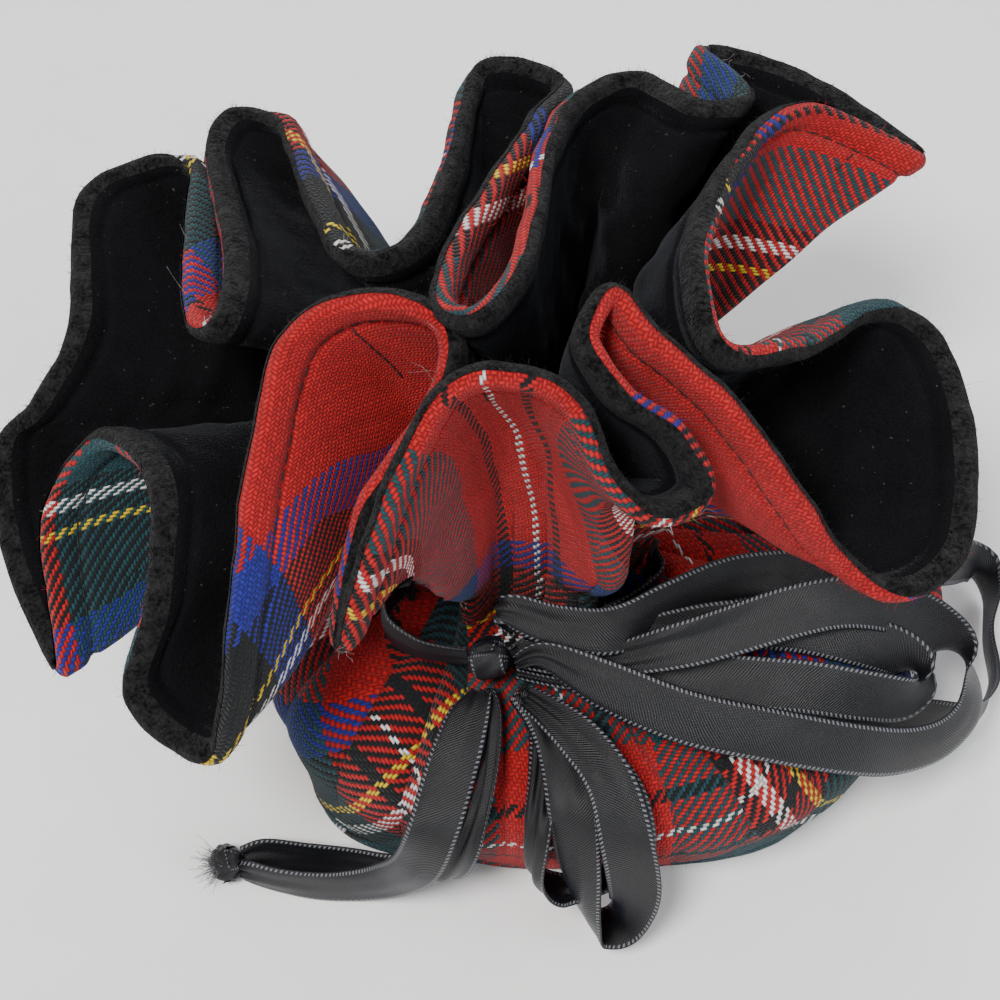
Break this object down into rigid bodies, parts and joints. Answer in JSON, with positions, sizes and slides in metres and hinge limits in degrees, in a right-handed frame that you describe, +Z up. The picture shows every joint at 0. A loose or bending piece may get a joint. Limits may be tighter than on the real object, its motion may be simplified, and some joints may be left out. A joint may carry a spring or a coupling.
{
  "type": "drawstring pouch",
  "caption": "Round drawstring pouch of red tartan wool, lined with black velvet, gathered into a ruffled collar by a black satin ribbon that is tied in a loose bow.",
  "frame": {"origin": "centre of the flat base, on the surface that the pouch stands on", "axes": "+Z up, the bow is on the -Y side, and its loops lie to +X"},
  "size_m": [0.1879, 0.139, 0.1123],
  "materials": {
    "tartan": "twill wool, red tartan",
    "velvet": "velvet pile, black",
    "ribbon": "ribbed satin, black",
    "ribbon_thread": "loose thread, black",
    "thread": "sewing thread, black"
  },
  "bodies": {
    "pouch": {"outer_body": "tartan", "outer_collar": "tartan", "lining_body": "velvet", "lining_collar": "velvet", "rim_topstitch": "thread", "casing_stitch_upper": "thread", "casing_stitch_lower": "thread", "hem_tacks": "thread", "eyelet_left": "thread", "eyelet_right": "thread", "casing_drawstring": "ribbon", "ribbon_run_left": "ribbon", "ribbon_run_right": "ribbon", "bow_knot": "ribbon"},
    "right_loops": {"right_loop_outer": "ribbon", "right_loop_small": "ribbon", "right_loop_large": "ribbon"},
    "hanging_loops": {"hanging_loop_long": "ribbon", "hanging_loop_short": "ribbon"},
    "left_tail": {"left_tail_front": "ribbon", "left_tail_back": "ribbon", "tail_knot": "ribbon", "tail_fray": "ribbon_thread"}
  },
  "joints": [
    {"name": "right_loops_lift", "type": "hinge", "parent": "pouch", "child": "right_loops", "pos_m": [-0.0157, -0.03, 0.044], "axis": [0, -1, 0], "range_deg": [0, 8]},
    {"name": "hanging_loops_lift", "type": "hinge", "parent": "pouch", "child": "hanging_loops", "pos_m": [-0.02, -0.0295, 0.044], "axis": [-1, 0, 0], "range_deg": [0, 45]},
    {"name": "left_tail_lift", "type": "hinge", "parent": "pouch", "child": "left_tail", "pos_m": [-0.02, -0.0295, 0.044], "axis": [-1, 0, 0], "range_deg": [0, 45]}
  ]
}
